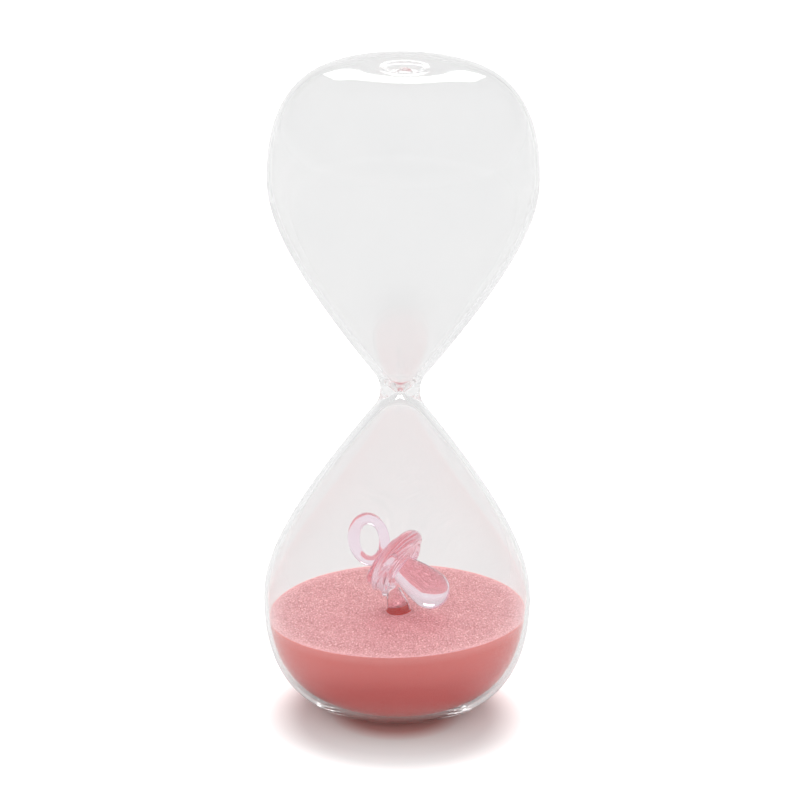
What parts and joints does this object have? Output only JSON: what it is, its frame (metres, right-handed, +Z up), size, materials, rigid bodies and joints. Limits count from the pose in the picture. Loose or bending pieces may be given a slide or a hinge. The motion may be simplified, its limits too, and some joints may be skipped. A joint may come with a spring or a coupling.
{
  "type": "hourglass",
  "caption": "Blown-glass sand timer: sealed bulbs joined at a solid waist, with pink sand in the lower bulb and a pink glass dummy (pacifier) on a clear stem above it.",
  "frame": {"origin": "middle of the base, on the plane that the base's flat ring stands on", "axes": "+Z up along the glass's axis, through the waist; -Y towards the viewer; +X to the side that the dummy's teat points to"},
  "size_m": [0.066, 0.066, 0.163],
  "materials": {
    "clear_glass": "polished",
    "pink_glass": "polished",
    "sand": "matte"
  },
  "bodies": {
    "glass": {"base": "clear_glass", "lower_bulb": "clear_glass", "waist": "clear_glass", "upper_bulb": "clear_glass", "crown": "clear_glass", "crown_seal": "clear_glass", "stem": "clear_glass", "guard": "pink_glass", "teat": "pink_glass", "ring_handle": "pink_glass"},
    "sand": {"sand_bed": "sand"}
  },
  "joints": [
    {"name": "sand_lift", "type": "slide", "parent": "glass", "child": "sand", "axis": [0, 0, 1], "range_m": [0, 0.002]}
  ]
}
